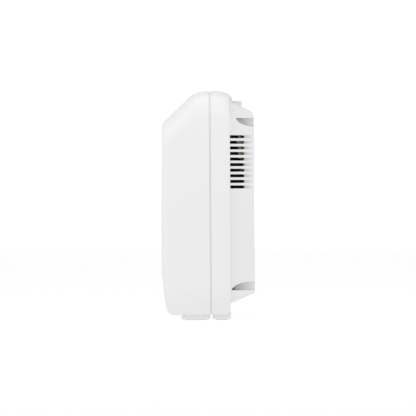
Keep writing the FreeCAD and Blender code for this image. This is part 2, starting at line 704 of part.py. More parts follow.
def co2_sensor():
    """Gas cell block on two rows of pins."""
    block = soft_box((8.0, 38.0), (0.1, 9.1), (60.0, 82.0), 1.5, "y")
    pins = [rod_y(10.5 + 2.54 * step, z, (BOARD_BACK, 0.6), 0.4) for step in range(4) for z in (62.5, 79.5)]
    return joined([block] + pins)


def co2_filter():
    return slab(10.0, 65.0, 77.0, 1.5, (9.1, 9.6), 23.0)


# ---- particle sensor ----
def particle_sensor_case():
    """Open box with a round fan chamber below and an optical chamber above."""
    case = box(PM_X, (BOARD_BACK, PM_LID_Y), PM_Z)
    chamber_y = (PM_FLOOR_Y, PM_LID_Y + 1.0)
    fan_room = rod_y(FAN_X, FAN_Z, chamber_y, FAN_CHAMBER_R)
    light_room = box((PM_X[0] + 2.0, PM_X[1] - 2.0), chamber_y, (69.0, PM_Z[1] - PM_WALL))
    passage = box((FAN_X + 4.0, FAN_X + 9.0), chamber_y, (FAN_Z, 70.0))
    outlet = box((PM_X[0] - 1.0, FAN_X), chamber_y, (FAN_Z - 10.0, FAN_Z - 3.0))
    under = box((PM_X[0] + PM_WALL, PM_X[1] - PM_WALL), (BOARD_BACK - 1.0, PM_FLOOR_Y - 1.6),
                (PM_Z[0] + PM_WALL, PM_Z[1] - PM_WALL))
    case = case.cut([fan_room, light_room, passage, outlet, under])
    saddle = box((-39.0, -33.0), (PM_FLOOR_Y - 0.5, 14.0), (68.0, 79.0))
    return case.fuse(saddle).cut(laser_rod(3.0 + SLIP, 10.0)).removeSplitter()


def laser_rod(radius, length):
    return Part.makeCylinder(radius, length, V(-41.0, 10.5, 79.0), V(1, 0, 0))


def laser_module():
    """Laser barrel in its saddle, with a narrower lens nose."""
    nose = Part.makeCylinder(1.9, 2.5, V(-31.5, 10.5, 79.0), V(1, 0, 0))
    return laser_rod(3.0, 9.5).fuse(nose)


def particle_sensor_lid():
    lid = slab(19.0, PM_Z[0], PM_Z[1], 1.5, (PM_LID_Y, PM_LID_Y + 1.2), sum(PM_X) / 2)
    y = (PM_LID_Y - 1.0, PM_LID_Y + 2.0)
    hole = rod_y(FAN_X, FAN_Z, y, 7.5)
    bars = [rod_y(FAN_X, FAN_Z, y, 2.5)]
    for turn in (0, 60, 120):
        bar = box((-8.0, 8.0), y, (-0.6, 0.6))
        bar.rotate(V(0, 0, 0), V(0, 1, 0), turn)
        bars.append(bar.translated(V(FAN_X, 0, FAN_Z)))
    return lid.cut(hole.cut(joined(bars)))


def fan_motor():
    base = rod_y(FAN_X, FAN_Z, (PM_FLOOR_Y, ROTOR_Y[0] - 0.6), 4.5)
    return base.fuse(rod_y(FAN_X, FAN_Z, (PM_FLOOR_Y, ROTOR_Y[1] + 0.6), SHAFT_R))


def fan_rotor():
    """Drum with swept blades around a hub that turns on the motor shaft."""
    plate = rod_y(0, 0, (ROTOR_Y[0], ROTOR_Y[0] + 0.8), ROTOR_R)
    pieces = [plate, rod_y(0, 0, ROTOR_Y, 4.8)]
    for index in range(BLADES):
        blade = box((5.6, ROTOR_R - 0.2), ROTOR_Y, (-0.4, 0.4))
        blade.rotate(V(5.6, 0, 0), V(0, 1, 0), 35)
        blade.rotate(V(0, 0, 0), V(0, 1, 0), index * 360.0 / BLADES)
        pieces.append(blade)
    body = joined(pieces).common(rod_y(0, 0, ROTOR_Y, ROTOR_R))
    bore = rod_y(0, 0, (ROTOR_Y[0] - 1.0, ROTOR_Y[1] + 1.0), SHAFT_R + SLIP)
    return body.cut(bore).translated(V(FAN_X, 0, FAN_Z))


# ---- sensor board behind the vents ----
def sensor_board():
    board = box(SENSOR_BOARD_X, SENSOR_BOARD_Y, SENSOR_BOARD_Z)
    return board.cut([rod_y(x, z, (15.0, 25.0), PILOT_R + 0.2) for x, z in SENSOR_POSTS])


def sensor_connector():
    x0, x1, z0, z1 = SENSOR_PLUG
    body = box((x0, x1), (SENSOR_BOARD_Y[1], 23.1), (z0, z1))
    return body.cut(box((x0 + 1.0, x1 - 1.0), (21.0, 22.4), (z0 - 1.0, z0 + 1.5)))


def gas_sensor():
    y = SENSOR_BOARD_Y[1]
    can = rod_y(30.0, 105.0, (y, y + 4.2), 4.2)
    return can.fuse(rod_y(30.0, 105.0, (y, y + 0.6), 4.8)).cut(rod_y(30.0, 105.0, (y + 3.6, y + 5.0), 2.6))


def humidity_sensor():
    y = SENSOR_BOARD_Y[1]
    chip = box((36.0, 39.0), (y, y + 1.0), (108.0, 111.0))
    return chip.cut(rod_y(37.5, 109.5, (y + 0.6, y + 2.0), 0.8))


# ---- power inlet ----
def usb_shell():
    z = (USB_MOUTH_Z, USB_TOP_Z)
    return usb_stadium(0.0, z).cut(usb_stadium(-0.3, (z[0] - 1.0, z[1] + 1.0)))


def usb_tongue():
    tongue = box((-3.35, 3.35), (USB_Y - 0.35, USB_Y + 0.35), (USB_MOUTH_Z + 1.0, USB_TOP_Z))
    return tongue.fuse(usb_stadium(-0.3 - SLIP, (USB_TOP_Z - 2.0, USB_TOP_Z)))


def power_board():
    board = box((-12.0, 12.0), POWER_BOARD_Y, (17.8, 37.0))
    return board.cut([rod_y(x, z, (10.0, 20.0), PILOT_R + 0.2) for x, z in POWER_POSTS])


# ---- rear button ----
def rear_button():
    """Push button: cap through the bulge, flange below the wall, stem to the switch."""
    cap = soft_box((-BUTTON_HALF, BUTTON_HALF), BUTTON_Y, (BUTTON_FLANGE_Z[0], BUTTON_TOP), 0.8, "z")
    crown = [e for e in cap.Edges if abs(e.CenterOfMass.z - BUTTON_TOP) < 1e-6]
    cap = cap.makeFillet(0.6, crown)
    flange_x = (-BUTTON_HALF - 1.5, BUTTON_HALF + 1.5)
    flange = box(flange_x, BUTTON_FLANGE_Y, BUTTON_FLANGE_Z)
    stem = rod_z(0, BUTTON_MID_Y, (PLUNGER_TOP, BUTTON_FLANGE_Z[0] + 0.5), 2.0)
    return joined([cap, flange, stem])


def switch_plunger():
    return rod_z(0, BUTTON_MID_Y, (SWITCH_TOP - 1.5, PLUNGER_TOP), PLUNGER_R)


def button_switch():
    body = box((-3.0, 3.0), (BUTTON_MID_Y - 3.0, BUTTON_MID_Y + 3.0), (BUTTON_BOARD_Z[1], SWITCH_TOP))
    return body.cut(rod_z(0, BUTTON_MID_Y, (SWITCH_TOP - 2.7, SWITCH_TOP + 1.0), PLUNGER_R + 2 * SLIP))


def button_board():
    board = box((-10.0, 10.0), (14.6, 21.4), BUTTON_BOARD_Z)
    return board.cut(both_sides(rod_z(SHELF_SCREW_X, BUTTON_MID_Y, (110.0, 116.0), PILOT_R + 0.2)))


# ---- fasteners, feet, label and wiring ----
def housing_screws():
    screws = []
    for well in (TOP_WELL, LOW_WELL):
        x, z = well_screw_centre(well)
        screws += both_sides(screw_y(x, z, WELL_FLOOR_Y, -6.0, HOUSING_SHANK_R, HOUSING_HEAD_R, 1.8))
    return Part.makeCompound(screws)


def small_screws():
    """Screws of the sensor, power, light and button boards."""
    middle = sum(BAR_Z) / 2
    tip_y = SENSOR_BOARD_Y[1] + 4.0
    screws = [screw_y(x, z, SENSOR_BOARD_Y[0], tip_y, 0.95, 1.9, 1.3) for x, z in SENSOR_POSTS]
    tip_y = POWER_BOARD_Y[1] + 4.5
    screws += [screw_y(x, z, POWER_BOARD_Y[0], tip_y, 0.95, 1.9, 1.3) for x, z in POWER_POSTS]
    screws += both_sides(screw_y(LED_POST_X, middle, LED_BOARD_Y[1], LED_BOARD_Y[0] - 2.0, 0.95, 1.9, 1.3))
    upright = screw_y(0, 0, BUTTON_BOARD_Z[1], BUTTON_BOARD_Z[0] - 2.4, 0.95, 1.9, 1.3)
    upright.rotate(V(0, 0, 0), V(1, 0, 0), 90)
    screws += both_sides(upright.translated(V(SHELF_SCREW_X, BUTTON_MID_Y, 0)))
    return Part.makeCompound(screws)


def foot_pads():
    pads = []
    for y in (FRONT_FOOT_Y, REAR_FOOT_Y):
        pads += both_sides(pad(y, 0.0))
    return Part.makeCompound(pads)


def rear_label():
    half, low, high = LABEL
    return slab(half, low, high, 1.5, (BACK_Y - LABEL_RECESS, BACK_Y - LABEL_RECESS + 0.2))


def harness(route, bend, first_x, spacing, count):
    """Side-by-side wires that follow the same route."""
    wires = [tube_path(route, 0.45, bend, first_x + index * spacing) for index in range(count)]
    return Part.makeCompound(wires)


def sensor_harness():
    return harness([(21.7, SENSOR_PLUG[2] + 1.4), (21.7, 88.5), (2.6, 88.5)], 5.0, 42.5, 0.95, 4)


def particle_harness():
    return harness([(6.5, PM_Z[0]), (6.5, 33.0), (2.6, 33.0)], 3.0, -27.5, 1.2, 5)


def button_harness():
    return harness([(16.6, BUTTON_BOARD_Z[0] - 4.0), (16.6, 107.0), (2.6, 107.0)], 1.3, 3.6, 0.0, 1)


def power_harness():
    wires = [rod_y(x, 28.0, (2.6, POWER_BOARD_Y[0] - 4.0), 0.6) for x in (-3.3, -1.1, 1.1, 3.3)]
    return Part.makeCompound(wires)


def light_harness():
    wires = [rod_y(x, 31.5, (LED_BOARD_Y[1] + 3.0, BOARD_Y[0] - 3.0), 0.45) for x in (13.4, 14.8, 16.2, 17.6)]
    return Part.makeCompound(wires)


PIECES = [front_cover, rear_cover, seam_gasket, chamber_divider, display_window,
          display_panel, display_backlight, display_frame, display_screws, display_cable, light_bar, led_board, leds, main_board,
          board_screws, board_chips, board_capacitors, power_inductor, buzzer, board_sockets,
          small_sockets, wifi_board, wifi_shield, co2_sensor, co2_filter, particle_sensor_case,
          particle_sensor_lid, laser_module, fan_motor, fan_rotor, sensor_board, sensor_connector,
          gas_sensor, humidity_sensor, usb_shell, usb_tongue, power_board, rear_button,
          switch_plunger, button_switch, button_board, housing_screws, small_screws, foot_pads,
          rear_label, sensor_harness, particle_harness, button_harness, power_harness, light_harness]

os.makedirs("parts", exist_ok=True)
for piece in PIECES:
    solid = piece()
    solid.exportStep("parts/" + piece.__name__ + ".step")
    print(piece.__name__, solid.isValid(), len(solid.Solids), round(solid.Volume, 1))
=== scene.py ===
"""Looks for the desktop air quality monitor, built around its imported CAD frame.

Everything is in metres in the frame of the CAD model: X across the width, +Y
towards the back, +Z up, the display on the -Y side. MM turns millimetres into
that unit. Places of the added pieces are read from the CAD nodes they sit on.
"""

import bmesh
import bpy
import math
import random
from mathutils import Matrix, Vector


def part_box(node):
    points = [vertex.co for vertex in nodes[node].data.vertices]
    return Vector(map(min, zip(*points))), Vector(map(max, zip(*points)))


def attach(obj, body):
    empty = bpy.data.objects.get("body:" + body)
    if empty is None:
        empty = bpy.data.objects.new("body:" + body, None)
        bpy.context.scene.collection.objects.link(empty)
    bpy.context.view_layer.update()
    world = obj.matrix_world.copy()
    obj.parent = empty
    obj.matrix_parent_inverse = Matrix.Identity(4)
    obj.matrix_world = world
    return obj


MM = 0.001
WHITE = (1.0, 1.0, 1.0, 1.0)

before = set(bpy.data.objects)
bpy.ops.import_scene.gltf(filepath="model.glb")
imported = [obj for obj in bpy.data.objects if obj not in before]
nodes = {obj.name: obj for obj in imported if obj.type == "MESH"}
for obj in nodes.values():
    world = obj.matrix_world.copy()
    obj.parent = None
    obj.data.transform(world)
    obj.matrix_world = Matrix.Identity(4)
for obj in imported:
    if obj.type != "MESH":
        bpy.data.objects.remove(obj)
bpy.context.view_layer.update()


# ---- camera, light and floor ----
VIEW_WIDTH = 249.6 * MM       # width of the picture at the side of the case
CAMERA_DISTANCE = 3.0
SENSOR = 36.0
AIM = Vector((60.0, 0.1, 67.5)) * MM
ROLL = math.radians(0.35)

WORLD_STRENGTH = 0.64
LIGHTS = (                    # name, place, aim, size, power in watts
    ("top_light", (0.15, -0.15, 1.6), (0, 0, 0.07), (1.2, 1.2), 6.2),
    ("key_light", (0.35, -1.3, 1.0), (0, 0, 0.07), (0.9, 0.9), 2.2),
    ("side_light", (0.8, 0.2, 0.75), (0, 0, 0.1), (0.45, 0.45), 1.1),
    ("softbox", (0.29, -0.35, 0.26), (0.05, -0.02, 0.11), (0.16, 0.16), 0.17),
    ("rear_fill", (1.25, 0.8, 0.18), (0.05, 0.02, 0.07), (0.4, 0.3), 1.3),
)

FLOOR_HALF = 30.0
FLOOR_Z = -0.05 * MM          # a hair below the soles
FLOOR_GREY = 0.12
FLOOR_GLOW = (0.90, 0.903, 0.912)
WALL_GREY = 0.3
WALL_GLOW = (1.0, 1.0, 1.0)
WALL_RADIUS = 5.5
WALL_HEIGHT = 0.85
WALL_SIDES = 48


def make_camera():
    """Long lens, level and square to the right-hand side, rolled by a hair."""
    data = bpy.data.cameras.new("camera")
    data.sensor_width = SENSOR
    data.lens = SENSOR * CAMERA_DISTANCE / VIEW_WIDTH
    data.clip_end = 100.0
    camera = bpy.data.objects.new("camera", data)
    bpy.context.scene.collection.objects.link(camera)
    camera.location = AIM + Vector((CAMERA_DISTANCE, 0, 0))
    camera.rotation_euler = (math.pi / 2, ROLL, math.pi / 2)
    bpy.context.scene.camera = camera


def area_light(name, place, aim, size, power):
    """Rectangular light that faces the point aim."""
    data = bpy.data.lights.new(name, "AREA")
    data.shape = "RECTANGLE"
    data.size, data.size_y = size
    data.energy = power
    light = bpy.data.objects.new(name, data)
    bpy.context.scene.collection.objects.link(light)
    light.location = place
    direction = Vector(aim) - Vector(place)
    light.rotation_mode = "QUATERNION"
    light.rotation_quaternion = direction.to_track_quat("-Z", "Y")


def stage_piece(name, corners, faces, grey, glow):
    """Matt grey piece of the studio that also gives off light of the colour glow."""
    mesh = bpy.data.meshes.new(name)
    mesh.from_pydata(corners, [], faces)
    piece = bpy.data.objects.new(name, mesh)
    bpy.context.scene.collection.objects.link(piece)
    paper, _, _ = new_material(name + "_paper", Base_Color=(grey, grey, grey, 1), Roughness=1.0,
                               Specular_IOR_Level=0.0, Emission_Color=(*glow, 1), Emission_Strength=1.0)
    mesh.materials.append(paper)


def make_studio():
    """Soft light from all round, a pale floor and a low pale wall in a ring round it."""
    scene = bpy.context.scene
    scene.view_settings.view_transform = "Standard"
    world = bpy.data.worlds.new("studio")
    scene.world = world
    world.use_nodes = True
    background = world.node_tree.nodes["Background"]
    background.inputs["Color"].default_value = WHITE
    background.inputs["Strength"].default_value = WORLD_STRENGTH
    for light in LIGHTS:
        area_light(*light)
    corners = [(x * FLOOR_HALF, y * FLOOR_HALF, FLOOR_Z) for x, y in ((-1, -1), (1, -1), (1, 1), (-1, 1))]
    stage_piece("floor", corners, [(0, 1, 2, 3)], FLOOR_GREY, FLOOR_GLOW)
    turns = [index * 2 * math.pi / WALL_SIDES for index in range(WALL_SIDES)]
    ring = [(WALL_RADIUS * math.cos(turn), WALL_RADIUS * math.sin(turn)) for turn in turns]
    corners = [(x, y, z) for z in (0.0, WALL_HEIGHT) for x, y in ring]
    pairs = [(index, (index + 1) % WALL_SIDES) for index in range(WALL_SIDES)]
    sides = [(here, after, after + WALL_SIDES, here + WALL_SIDES) for here, after in pairs]
    stage_piece("low_wall", corners, sides, WALL_GREY, WALL_GLOW)


# ---- material building blocks ----
def add(tree, kind, inputs=None, **settings):
    """New shader node with its settings, input values and incoming links."""
    node = tree.nodes.new(kind)
    for name, value in settings.items():
        setattr(node, name, value)
    for name, value in (inputs or {}).items():
        if isinstance(value, bpy.types.NodeSocket):
            tree.links.new(value, node.inputs[name])
        else:
            node.inputs[name].default_value = value
    return node


def new_material(name, **values):
    """Principled material whose uniform values sit on the shader's own sockets."""
    made = bpy.data.materials.new(name)
    made.use_nodes = True
    shader = made.node_tree.nodes["Principled BSDF"]
    for socket, value in values.items():
        shader.inputs[socket.replace("_", " ")].default_value = value
    return made, made.node_tree, shader


def place_in_frame(tree, stretch=(1.0, 1.0, 1.0)):
    """Object coordinates, which are the CAD frame for every piece here."""
    coordinates = add(tree, "ShaderNodeTexCoord")
    mapping = add(tree, "ShaderNodeMapping", {"Vector": coordinates.outputs["Object"], "Scale": stretch})
    return mapping.outputs["Vector"]


def noise(tree, place, scale, detail=3.0):
    return add(tree, "ShaderNodeTexNoise", {"Vector": place, "Scale": scale, "Detail": detail}).outputs["Fac"]


def stripes(tree, place, scale, axis):
    """Soft stripes that follow one another along an axis."""
    return add(tree, "ShaderNodeTexWave", {"Vector": place, "Scale": scale},
               bands_direction=axis).outputs["Fac"]


def along_axis(tree, place, axis):
    return add(tree, "ShaderNodeSeparateXYZ", {"Vector": place}).outputs[axis]


def spread(tree, value, low, high, start=0.3, end=0.7):
    """Value mapped from start..end to low..high."""
    inputs = {"Value": value, "From Min": start, "From Max": end, "To Min": low, "To Max": high}
    return add(tree, "ShaderNodeMapRange", inputs).outputs["Result"]


def mixed(tree, share, first, second):
    """Colour between two colours or sockets."""
    node = add(tree, "ShaderNodeMix", data_type="RGBA")
    for socket, value in ((node.inputs[0], share), (node.inputs[6], first), (node.inputs[7], second)):
        if isinstance(value, bpy.types.NodeSocket):
            tree.links.new(value, socket)
        else:
            socket.default_value = value if isinstance(value, float) else (*value[:3], 1.0)
    return node.outputs[2]


def bumped(tree, shader, height, distance, strength=1.0):
    inputs = {"Height": height, "Distance": distance, "Strength": strength}
    node = add(tree, "ShaderNodeBump", inputs)
    tree.links.new(node.outputs["Normal"], shader.inputs["Normal"])
    return node


def connect(tree, value, shader, socket):
    tree.links.new(value, shader.inputs[socket])


def moulded(name, colour, roughness, grain=0.012, grain_size=0.35, tint=0.03, **values):
    """Injection-moulded plastic: spark-eroded grain, slight unevenness of colour and gloss."""
    made, tree, shader = new_material(name, **values)
    place = place_in_frame(tree)
    broad = noise(tree, place, 22.0, 2.0)
    fine = noise(tree, place, 1000.0 / grain_size, 2.0)
    darker = [channel * (1.0 - tint) for channel in colour]
    connect(tree, mixed(tree, spread(tree, broad, 0.0, 1.0), darker, colour), shader, "Base Color")
    parts = {0: spread(tree, broad, -0.03, 0.03), 1: spread(tree, fine, -0.05, 0.05)}
    uneven = add(tree, "ShaderNodeMath", parts, operation="ADD")
    rough = add(tree, "ShaderNodeMath", {0: uneven.outputs[0], 1: roughness}, operation="ADD")
    connect(tree, rough.outputs[0], shader, "Roughness")
    bumped(tree, shader, fine, grain * MM)
    return made


def brushed(name, colour, roughness, stretch=(1.0, 30.0, 30.0)):
    """Metal with fine streaks along its longest direction."""
    made, tree, shader = new_material(name, Metallic=1.0)
    place = place_in_frame(tree, stretch)
    streaks = noise(tree, place, 220.0, 4.0)
    darker = [channel * 0.82 for channel in colour]
    connect(tree, mixed(tree, spread(tree, streaks, 0.0, 1.0), darker, colour), shader, "Base Color")
    connect(tree, spread(tree, streaks, roughness - 0.07, roughness + 0.1), shader, "Roughness")
    bumped(tree, shader, streaks, 0.004 * MM)
    return made


# ---- materials of the object ----
def circuit_board(name, mask, trace, laminate):
    """Solder mask over copper runs on the faces, bare glass laminate on the cut edges."""
    made, tree, shader = new_material(name)
    place = place_in_frame(tree)
    turn = add(tree, "ShaderNodeVectorRotate", {"Vector": place, "Angle": math.pi / 2},
               rotation_type="X_AXIS")
    runs = add(tree, "ShaderNodeTexBrick", {
        "Vector": turn.outputs["Vector"], "Scale": 180.0, "Mortar Size": 0.08,
        "Color1": (0, 0, 0, 1), "Color2": (0.25, 0.25, 0.25, 1), "Mortar": WHITE})
    patches = add(tree, "ShaderNodeTexVoronoi", {"Vector": place, "Scale": 95.0}, distance="MANHATTAN")
    masked = add(tree, "ShaderNodeMath", {
        0: add(tree, "ShaderNodeSeparateColor", {"Color": runs.outputs["Color"]}).outputs[0],
        1: spread(tree, patches.outputs["Distance"], 0.0, 1.0, 0.15, 0.6)}, operation="MULTIPLY")
    face = mixed(tree, masked.outputs[0], mask, trace)
    weave = noise(tree, place_in_frame(tree, (60.0, 400.0, 60.0)), 60.0, 3.0)
    cut = mixed(tree, spread(tree, weave, 0.0, 1.0), [c * 0.75 for c in laminate], laminate)
    normal = add(tree, "ShaderNodeNewGeometry").outputs["Normal"]
    flat = add(tree, "ShaderNodeMath", {0: along_axis(tree, normal, "Y")}, operation="ABSOLUTE").outputs[0]
    on_face = add(tree, "ShaderNodeMath", {0: flat, 1: 0.5}, operation="GREATER_THAN").outputs[0]
    connect(tree, mixed(tree, on_face, cut, face), shader, "Base Color")
    connect(tree, spread(tree, on_face, 0.75, 0.28, 0.0, 1.0), shader, "Roughness")
    bumped(tree, shader, masked.outputs[0], 0.03 * MM)
    return made


def smoked_window():
    """Dark acrylic that lets the lit display through."""
    made, tree, shader = new_material("smoked_window", Transmission_Weight=1.0, IOR=1.49)
    place = place_in_frame(tree)
    smears = noise(tree, place_in_frame(tree, (1.0, 1.0, 2.5)), 35.0, 4.0)
    connect(tree, spread(tree, smears, 0.015, 0.06), shader, "Roughness")
    cast = noise(tree, place, 12.0, 1.0)
    connect(tree, mixed(tree, cast, (0.30, 0.32, 0.34), (0.34, 0.355, 0.37)), shader, "Base Color")
    return made


def panel_glass():
    """Unlit display panel with its fine grid of cells."""
    made, tree, shader = new_material("panel_glass")
    place = place_in_frame(tree)
    lines = {0: stripes(tree, place, 420.0, "X"), 1: stripes(tree, place, 420.0, "Z")}
    grid = add(tree, "ShaderNodeMath", lines, operation="MULTIPLY").outputs[0]
    cells = mixed(tree, grid, (0.012, 0.014, 0.016), (0.022, 0.025, 0.028))
    connect(tree, cells, shader, "Base Color")
    connect(tree, spread(tree, noise(tree, place, 60.0), 0.18, 0.28), shader, "Roughness")
    bumped(tree, shader, grid, 0.002 * MM)
    return made


def glowing(name, colour, strength):
    """Lit display segment: an even glow with a soft cell pattern."""
    made, tree, shader = new_material(name, Roughness=0.4, Emission_Strength=strength)
    place = place_in_frame(tree)
    cells = noise(tree, place, 900.0, 1.0)
    dim = [channel * 0.9 for channel in colour]
    tone = mixed(tree, cells, dim, colour)
    connect(tree, tone, shader, "Base Color")
    connect(tree, tone, shader, "Emission Color")
    return made


def milky_diffuser():
    """Light bar: milky plastic, lit from green to amber along its length."""
    made, tree, shader = new_material("milky_diffuser", Roughness=0.45, Emission_Strength=0.35)
    place = place_in_frame(tree)
    low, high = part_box("light_bar")
    share = spread(tree, along_axis(tree, place, "X"), 0.0, 1.0, low.x, high.x)
    lit = mixed(tree, share, (0.25, 0.80, 0.38), (0.62, 0.84, 0.30))
    haze = noise(tree, place, 300.0, 2.0)
    connect(tree, mixed(tree, haze, lit, (0.88, 0.93, 0.88)), shader, "Base Color")
    connect(tree, lit, shader, "Emission Color")
    bumped(tree, shader, haze, 0.006 * MM)
    return made


def bundle_of_wires(name, colours, first, last):
    """Plastic insulation in a few colours, one per wire across the bundle."""
    made, tree, shader = new_material(name, Roughness=0.38)
    place = place_in_frame(tree)
    share = spread(tree, along_axis(tree, place, "X"), 0.0, 1.0, first, last)
    ramp = add(tree, "ShaderNodeValToRGB", {"Fac": share})
    ramp.color_ramp.interpolation = "CONSTANT"
    for index, colour in enumerate(colours):
        if index > 1:
            ramp.color_ramp.elements.new(index / len(colours))
        ramp.color_ramp.elements[index].position = index / len(colours)
        ramp.color_ramp.elements[index].color = (*colour, 1.0)
    scuffs = noise(tree, place, 700.0, 3.0)
    worn = mixed(tree, spread(tree, scuffs, 0.0, 0.25), ramp.outputs["Color"], (0.5, 0.5, 0.5))
    connect(tree, worn, shader, "Base Color")
    bumped(tree, shader, scuffs, 0.01 * MM)
    return made


def flat_cable_film():
    """Amber film over parallel copper tracks."""
    made, tree, shader = new_material("flat_cable_film", Roughness=0.3)
    place = place_in_frame(tree)
    tracks = stripes(tree, place, 160.0, "X")
    scuffs = noise(tree, place, 180.0, 3.0)
    film = mixed(tree, spread(tree, tracks, 0.0, 1.0, 0.4, 0.6), (0.55, 0.30, 0.07), (0.74, 0.50, 0.20))
    connect(tree, mixed(tree, spread(tree, scuffs, 0.0, 0.2), film, (0.8, 0.6, 0.3)), shader, "Base Color")
    bumped(tree, shader, tracks, 0.02 * MM)
    return made


def connector_nylon():
    """Natural nylon housing, tan at its top and dark brown towards its bottom."""
    made, tree, shader = new_material("connector_nylon", Roughness=0.5)
    place = place_in_frame(tree)
    low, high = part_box("sensor_connector")
    height = high.z - low.z
    share = spread(tree, along_axis(tree, place, "Z"), 0.0, 1.0, low.z + 0.3 * height, low.z + 0.6 * height)
    fine = noise(tree, place, 900.0, 3.0)
    tan = mixed(tree, fine, (0.50, 0.38, 0.24), (0.60, 0.47, 0.31))
    brown = mixed(tree, fine, (0.10, 0.055, 0.03), (0.16, 0.09, 0.05))
    connect(tree, mixed(tree, share, brown, tan), shader, "Base Color")
    bumped(tree, shader, fine, 0.02 * MM)
    return made


def woven_membrane():
    """Pale cloth of fine threads that cross."""
    made, tree, shader = new_material("woven_membrane", Roughness=0.9, Sheen_Weight=0.3)
    place = place_in_frame(tree)
    threads = {0: stripes(tree, place, 350.0, "X"), 1: stripes(tree, place, 350.0, "Z")}
    weave = add(tree, "ShaderNodeMath", threads, operation="MAXIMUM").outputs[0]
    connect(tree, mixed(tree, weave, (0.72, 0.72, 0.70), (0.90, 0.90, 0.88)), shader, "Base Color")
    bumped(tree, shader, weave, 0.05 * MM)
    return made


def label_film():
    """Satin silver film with a faint rolled grain."""
    made, tree, shader = new_material("label_film", Metallic=0.25)
    grain = noise(tree, place_in_frame(tree, (1.0, 1.0, 40.0)), 90.0, 3.0)
    connect(tree, mixed(tree, grain, (0.62, 0.63, 0.64), (0.74, 0.75, 0.76)), shader, "Base Color")
    connect(tree, spread(tree, grain, 0.36, 0.48), shader, "Roughness")
    return made


def make_materials():
    """Every material by a plain name."""
    metal = (0.62, 0.62, 0.61)
    mask, trace = (0.012, 0.10, 0.045), (0.03, 0.22, 0.09)
    return {
        "shell": moulded("white_shell", (0.772, 0.772, 0.769), 0.38, tint=0.015),
        "button": moulded("white_button", (0.765, 0.765, 0.762), 0.35, tint=0.015),
        "gasket": moulded("seam_rubber", (0.82, 0.81, 0.77), 0.7, 0.03, 0.8, 0.06),
        "pad": moulded("pad_rubber", (0.60, 0.60, 0.60), 0.8, 0.05, 0.6, 0.1),
        "tray": moulded("tray_plastic", (0.72, 0.72, 0.70), 0.5),
        "backlight": moulded("backlight_sheet", (0.86, 0.87, 0.86), 0.35, 0.01, 0.5),
        "chip": moulded("chip_epoxy", (0.022, 0.022, 0.024), 0.6, 0.015, 0.2, 0.3),
        # The same black on the chamber divider is painted shade: a dark sheet that keeps the vent slots black
        # inside.
        "black": moulded("black_plastic", (0.025, 0.025, 0.027), 0.45, 0.012, 0.3, 0.2),
        "ferrite": moulded("ferrite_core", (0.06, 0.06, 0.062), 0.75, 0.04, 0.4, 0.3),
        "socket": moulded("socket_nylon", (0.74, 0.71, 0.62), 0.45, 0.01, 0.4, 0.06),
        "blue": moulded("sensor_case_blue", (0.06, 0.13, 0.30), 0.45, 0.02, 0.4, 0.15),
        "fan": moulded("fan_nylon", (0.03, 0.03, 0.034), 0.35, 0.008, 0.3, 0.2),
        "led": moulded("led_phosphor", (0.90, 0.80, 0.42), 0.3, 0.006, 0.3, 0.08),
        "window": smoked_window(),
        "panel": panel_glass(),
        "diffuser": milky_diffuser(),
        "steel": brushed("plain_steel", metal, 0.3),
        "black_steel": brushed("blackened_steel", (0.36, 0.36, 0.37), 0.45),
        "tin": brushed("tinned_can", (0.72, 0.72, 0.70), 0.26),
        "aluminium": brushed("capacitor_can", (0.74, 0.75, 0.76), 0.3, (30.0, 1.0, 30.0)),
        "gold": brushed("gilt_brass", (0.78, 0.57, 0.24), 0.28),
        "green_board": circuit_board("green_board", mask, trace, (0.52, 0.42, 0.22)),
        "tan_board": circuit_board("sensor_laminate", mask, trace, (0.62, 0.49, 0.31)),
        "nylon": connector_nylon(),
        "membrane": woven_membrane(),
        "flat_cable": flat_cable_film(),
        "label": label_film(),
        "print": moulded("label_ink", (0.05, 0.05, 0.055), 0.5, 0.004, 0.2),
        "lit_white": glowing("lit_white", (0.85, 0.93, 1.0), 2.2),
        "lit_green": glowing("lit_green", (0.18, 0.85, 0.32), 2.2),
        "lit_yellow": glowing("lit_yellow", (0.95, 0.75, 0.12), 2.0),
        "lit_orange": glowing("lit_orange", (1.0, 0.38, 0.06), 2.0),
        "lit_red": glowing("lit_red", (0.95, 0.08, 0.06), 2.0),
    }


LOOK = {
    "front_cover": "shell", "rear_cover": "shell", "seam_gasket": "gasket",
    # The chamber divider is black as painted shade inside the vent slots.
    "chamber_divider": "black", "display_window": "window",
    "display_panel": "panel", "display_backlight": "backlight", "display_frame": "tray",
    "display_screws": "steel", "display_cable": "flat_cable", "light_bar": "diffuser",
    "led_board": "green_board", "leds": "led", "main_board": "green_board", "board_screws": "steel",
    "board_chips": "chip", "board_capacitors": "aluminium", "power_inductor": "ferrite",
    "buzzer": "black", "board_sockets": "socket", "small_sockets": "socket", "wifi_board": "green_board",
    "wifi_shield": "tin", "co2_sensor": "gold", "co2_filter": "membrane", "particle_sensor_case": "blue",
    "particle_sensor_lid": "tin", "laser_module": "gold", "fan_motor": "steel", "fan_rotor": "fan",
    "sensor_board": "tan_board", "sensor_connector": "nylon", "gas_sensor": "tin",
    "humidity_sensor": "membrane", "usb_shell": "steel", "usb_tongue": "black",
    "power_board": "green_board", "rear_button": "button", "switch_plunger": "black",
    "button_switch": "black", "button_board": "green_board", "housing_screws": "black_steel",
    "small_screws": "steel", "foot_pads": "pad", "rear_label": "label",
}
RED, BLACK, YELLOW, CREAM = (0.50, 0.03, 0.02), (0.02, 0.02, 0.02), (0.70, 0.50, 0.05), (0.75, 0.72, 0.65)
WIRES = {
    "sensor_harness": (RED, BLACK, YELLOW, CREAM),
    "particle_harness": (RED, BLACK, CREAM, YELLOW, BLACK),
    "button_harness": (CREAM, CREAM),
    "power_harness": (RED, RED, BLACK, BLACK),
    "light_harness": (RED, BLACK, YELLOW, CREAM),
}


def dress(obj, made):
    """Puts one material in every slot of an object."""
    if not obj.material_slots:
        obj.data.materials.append(made)
    for place in obj.material_slots:
        place.material = made


